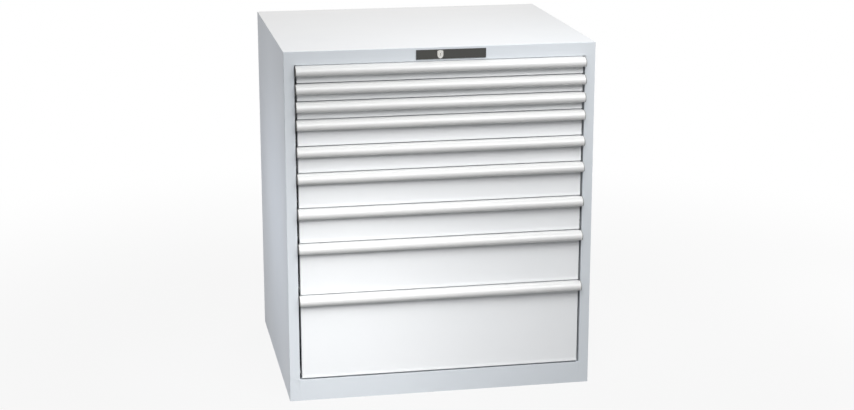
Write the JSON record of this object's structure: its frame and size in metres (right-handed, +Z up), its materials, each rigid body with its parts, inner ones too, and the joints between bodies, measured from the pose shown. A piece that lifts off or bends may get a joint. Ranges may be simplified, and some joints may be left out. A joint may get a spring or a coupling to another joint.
{
  "type": "drawer cabinet",
  "caption": "Free-standing steel drawer cabinet: stacked full-extension drawers with full-width curved grip rails, telescopic roller runners and one central lock.",
  "frame": {"origin": "middle of the footprint on the floor, grip rails included", "axes": "+Z up, drawers open towards -Y, left side of the cabinet at -X"},
  "size_m": [0.87, 0.747, 1],
  "materials": {
    "housing_paint": "fine-textured powder coat, satin",
    "front_paint": "smooth powder coat, satin",
    "handle_lacquer": "white lacquer on extruded aluminium, satin",
    "cap_plastic": "moulded, matt",
    "tray_paint": "smooth powder coat, satin",
    "galvanised_steel": "zinc plated",
    "roller_steel": "turned",
    "lock_plastic": "moulded, satin",
    "lock_chrome": "satin nickel",
    "zinc_casting": "die-cast zinc"
  },
  "bodies": {
    "cabinet": {"side_panel_right": "housing_paint", "side_panel_left": "housing_paint", "back_panel": "housing_paint", "top_panel": "housing_paint", "base_panel": "housing_paint", "front_rails": "housing_paint", "slotted_uprights": "galvanised_steel", "cabinet_rails": "galvanised_steel", "cabinet_rollers": "roller_steel", "lock_plate": "lock_plastic", "lock_escutcheon": "lock_chrome", "lock_housing": "zinc_casting"},
    "drawer_1": {"drawer_1_tray": "tray_paint", "drawer_1_front": "front_paint", "drawer_1_handle": "handle_lacquer", "drawer_1_end_caps": "cap_plastic"},
    "middle_rails_1": {"drawer_1_middle_rails": "galvanised_steel"},
    "drawer_2": {"drawer_2_tray": "tray_paint", "drawer_2_front": "front_paint", "drawer_2_handle": "handle_lacquer", "drawer_2_end_caps": "cap_plastic"},
    "middle_rails_2": {"drawer_2_middle_rails": "galvanised_steel"},
    "drawer_3": {"drawer_3_tray": "tray_paint", "drawer_3_front": "front_paint", "drawer_3_handle": "handle_lacquer", "drawer_3_end_caps": "cap_plastic"},
    "middle_rails_3": {"drawer_3_middle_rails": "galvanised_steel"},
    "drawer_4": {"drawer_4_tray": "tray_paint", "drawer_4_front": "front_paint", "drawer_4_handle": "handle_lacquer", "drawer_4_end_caps": "cap_plastic"},
    "middle_rails_4": {"drawer_4_middle_rails": "galvanised_steel"},
    "drawer_5": {"drawer_5_tray": "tray_paint", "drawer_5_front": "front_paint", "drawer_5_handle": "handle_lacquer", "drawer_5_end_caps": "cap_plastic"},
    "middle_rails_5": {"drawer_5_middle_rails": "galvanised_steel"},
    "drawer_6": {"drawer_6_tray": "tray_paint", "drawer_6_front": "front_paint", "drawer_6_handle": "handle_lacquer", "drawer_6_end_caps": "cap_plastic"},
    "middle_rails_6": {"drawer_6_middle_rails": "galvanised_steel"},
    "drawer_7": {"drawer_7_tray": "tray_paint", "drawer_7_front": "front_paint", "drawer_7_handle": "handle_lacquer", "drawer_7_end_caps": "cap_plastic"},
    "middle_rails_7": {"drawer_7_middle_rails": "galvanised_steel"},
    "drawer_8": {"drawer_8_tray": "tray_paint", "drawer_8_front": "front_paint", "drawer_8_handle": "handle_lacquer", "drawer_8_end_caps": "cap_plastic"},
    "middle_rails_8": {"drawer_8_middle_rails": "galvanised_steel"},
    "drawer_9": {"drawer_9_tray": "tray_paint", "drawer_9_front": "front_paint", "drawer_9_handle": "handle_lacquer", "drawer_9_end_caps": "cap_plastic"},
    "middle_rails_9": {"drawer_9_middle_rails": "galvanised_steel"},
    "lock_cylinder": {"lock_cylinder": "lock_chrome"},
    "lock_link": {"lock_link": "galvanised_steel"},
    "locking_bar": {"locking_bar": "galvanised_steel"}
  },
  "joints": [
    {"name": "drawer_1_slide", "type": "slide", "parent": "cabinet", "child": "drawer_1", "axis": [0, -1, 0], "range_m": [0, 0.612]},
    {"name": "middle_rails_1_slide", "type": "slide", "parent": "cabinet", "child": "middle_rails_1", "axis": [0, -1, 0], "range_m": [0, 0.306]},
    {"name": "drawer_2_slide", "type": "slide", "parent": "cabinet", "child": "drawer_2", "axis": [0, -1, 0], "range_m": [0, 0.612]},
    {"name": "middle_rails_2_slide", "type": "slide", "parent": "cabinet", "child": "middle_rails_2", "axis": [0, -1, 0], "range_m": [0, 0.306]},
    {"name": "drawer_3_slide", "type": "slide", "parent": "cabinet", "child": "drawer_3", "axis": [0, -1, 0], "range_m": [0, 0.612]},
    {"name": "middle_rails_3_slide", "type": "slide", "parent": "cabinet", "child": "middle_rails_3", "axis": [0, -1, 0], "range_m": [0, 0.306]},
    {"name": "drawer_4_slide", "type": "slide", "parent": "cabinet", "child": "drawer_4", "axis": [0, -1, 0], "range_m": [0, 0.612]},
    {"name": "middle_rails_4_slide", "type": "slide", "parent": "cabinet", "child": "middle_rails_4", "axis": [0, -1, 0], "range_m": [0, 0.306]},
    {"name": "drawer_5_slide", "type": "slide", "parent": "cabinet", "child": "drawer_5", "axis": [0, -1, 0], "range_m": [0, 0.612]},
    {"name": "middle_rails_5_slide", "type": "slide", "parent": "cabinet", "child": "middle_rails_5", "axis": [0, -1, 0], "range_m": [0, 0.306]},
    {"name": "drawer_6_slide", "type": "slide", "parent": "cabinet", "child": "drawer_6", "axis": [0, -1, 0], "range_m": [0, 0.612]},
    {"name": "middle_rails_6_slide", "type": "slide", "parent": "cabinet", "child": "middle_rails_6", "axis": [0, -1, 0], "range_m": [0, 0.306]},
    {"name": "drawer_7_slide", "type": "slide", "parent": "cabinet", "child": "drawer_7", "axis": [0, -1, 0], "range_m": [0, 0.612]},
    {"name": "middle_rails_7_slide", "type": "slide", "parent": "cabinet", "child": "middle_rails_7", "axis": [0, -1, 0], "range_m": [0, 0.306]},
    {"name": "drawer_8_slide", "type": "slide", "parent": "cabinet", "child": "drawer_8", "axis": [0, -1, 0], "range_m": [0, 0.612]},
    {"name": "middle_rails_8_slide", "type": "slide", "parent": "cabinet", "child": "middle_rails_8", "axis": [0, -1, 0], "range_m": [0, 0.306]},
    {"name": "drawer_9_slide", "type": "slide", "parent": "cabinet", "child": "drawer_9", "axis": [0, -1, 0], "range_m": [0, 0.612]},
    {"name": "middle_rails_9_slide", "type": "slide", "parent": "cabinet", "child": "middle_rails_9", "axis": [0, -1, 0], "range_m": [0, 0.306]},
    {"name": "locking_bar_slide", "type": "slide", "parent": "cabinet", "child": "locking_bar", "axis": [0, 0, 1], "range_m": [0, 0.008]},
    {"name": "lock_link_slide", "type": "slide", "parent": "cabinet", "child": "lock_link", "axis": [1, 0, 0], "range_m": [0, 0.008]},
    {"name": "lock_turn", "type": "hinge", "parent": "cabinet", "child": "lock_cylinder", "pos_m": [-0.005, -0.3515, 0.9805], "axis": [0, 1, 0], "range_deg": [0, 90]}
  ],
  "couplings": [
    {"joint": "middle_rails_1_slide", "follows": "drawer_1_slide", "ratio": 0.5},
    {"joint": "middle_rails_2_slide", "follows": "drawer_2_slide", "ratio": 0.5},
    {"joint": "middle_rails_3_slide", "follows": "drawer_3_slide", "ratio": 0.5},
    {"joint": "middle_rails_4_slide", "follows": "drawer_4_slide", "ratio": 0.5},
    {"joint": "middle_rails_5_slide", "follows": "drawer_5_slide", "ratio": 0.5},
    {"joint": "middle_rails_6_slide", "follows": "drawer_6_slide", "ratio": 0.5},
    {"joint": "middle_rails_7_slide", "follows": "drawer_7_slide", "ratio": 0.5},
    {"joint": "middle_rails_8_slide", "follows": "drawer_8_slide", "ratio": 0.5},
    {"joint": "middle_rails_9_slide", "follows": "drawer_9_slide", "ratio": 0.5},
    {"joint": "lock_link_slide", "follows": "locking_bar_slide", "ratio": 1},
    {"joint": "lock_turn", "follows": "locking_bar_slide", "rad_per_m": 196.35}
  ]
}
